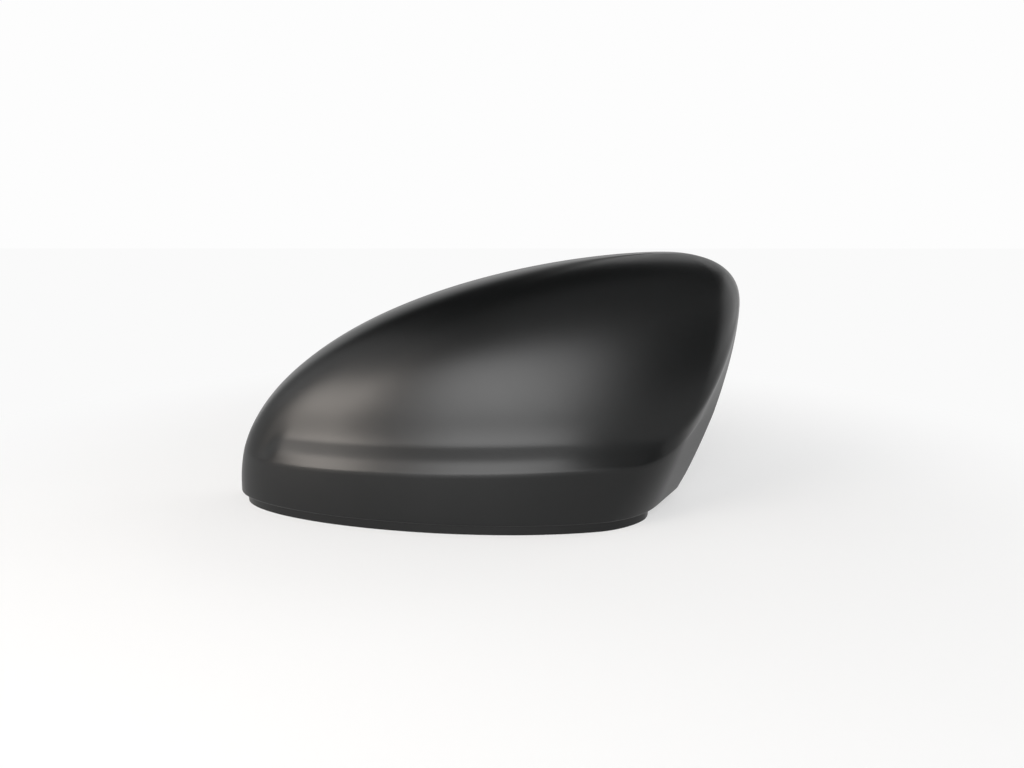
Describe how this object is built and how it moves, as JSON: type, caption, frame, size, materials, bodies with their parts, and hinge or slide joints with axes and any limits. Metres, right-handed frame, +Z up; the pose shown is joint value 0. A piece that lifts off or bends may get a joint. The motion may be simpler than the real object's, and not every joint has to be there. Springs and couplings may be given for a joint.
{
  "type": "wing mirror cover",
  "caption": "Car door mirror cover: curved shell with a crease above its skirt, an inset lower lip, and clips and pins inside.",
  "frame": {"origin": "centre of the bounding box seen from above, at the foot of the lower lip", "axes": "+X along the cover towards its tall end, +Y towards the open back rim, +Z up from the foot of the lip"},
  "size_m": [0.2292, 0.0578, 0.1146],
  "materials": {
    "cover_plastic": "fine-grained satin black"
  },
  "bodies": {
    "root": {"mirror_cover": "cover_plastic"}
  },
  "joints": []
}
